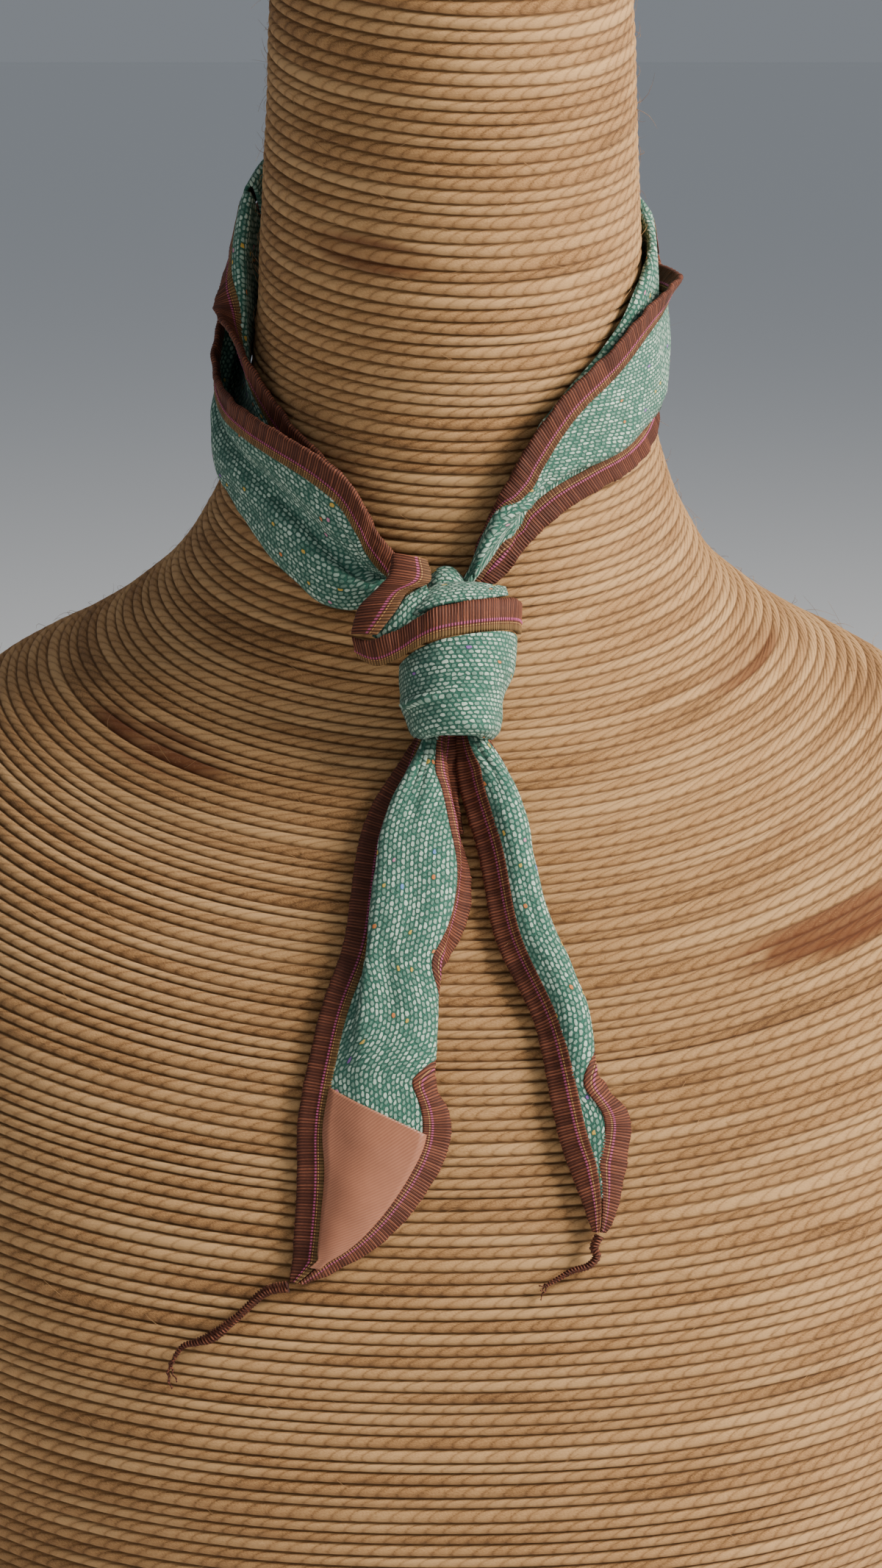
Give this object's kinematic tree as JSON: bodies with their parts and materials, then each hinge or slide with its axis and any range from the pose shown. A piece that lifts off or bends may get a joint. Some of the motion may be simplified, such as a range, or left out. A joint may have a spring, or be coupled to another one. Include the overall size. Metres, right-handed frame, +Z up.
{
  "type": "neck scarf on a display form",
  "caption": "Narrow tweed neck scarf with overlocked edges, tied once in front round the neck of a limbless rope-wound display form it rests on.",
  "frame": {"origin": "middle of the display form's flat base, at the bottom of the bounding box", "axes": "+Z up, the form's front and the knot face -Y, +X is the viewer's right seen from the front"},
  "size_m": [0.3758, 0.3002, 0.498],
  "materials": {
    "rope": "matt jute rope wound in close rows",
    "tweed": "flecked wool tweed",
    "edge": "overlocked thread, slightly glossy",
    "satin": "plain satin"
  },
  "bodies": {
    "root": {"display_form": "rope", "left_stretch": "tweed", "left_stretch_edge_a": "edge", "left_stretch_edge_b": "edge", "back_stretch": "tweed", "back_stretch_edge_a": "edge", "back_stretch_edge_b": "edge", "right_stretch": "tweed", "right_stretch_edge_a": "edge", "right_stretch_edge_b": "edge", "left_tail": "tweed", "left_tail_edge_a": "edge", "left_tail_edge_b": "edge", "right_tail": "tweed", "right_tail_edge_a": "edge", "right_tail_edge_b": "edge", "knot_wrap": "tweed", "knot_wrap_edge": "edge", "knot_lip": "edge", "knot_fold": "tweed", "knot_tuck": "tweed", "knot_core": "tweed", "label": "satin", "left_thread": "edge", "right_thread": "edge"}
  },
  "joints": []
}
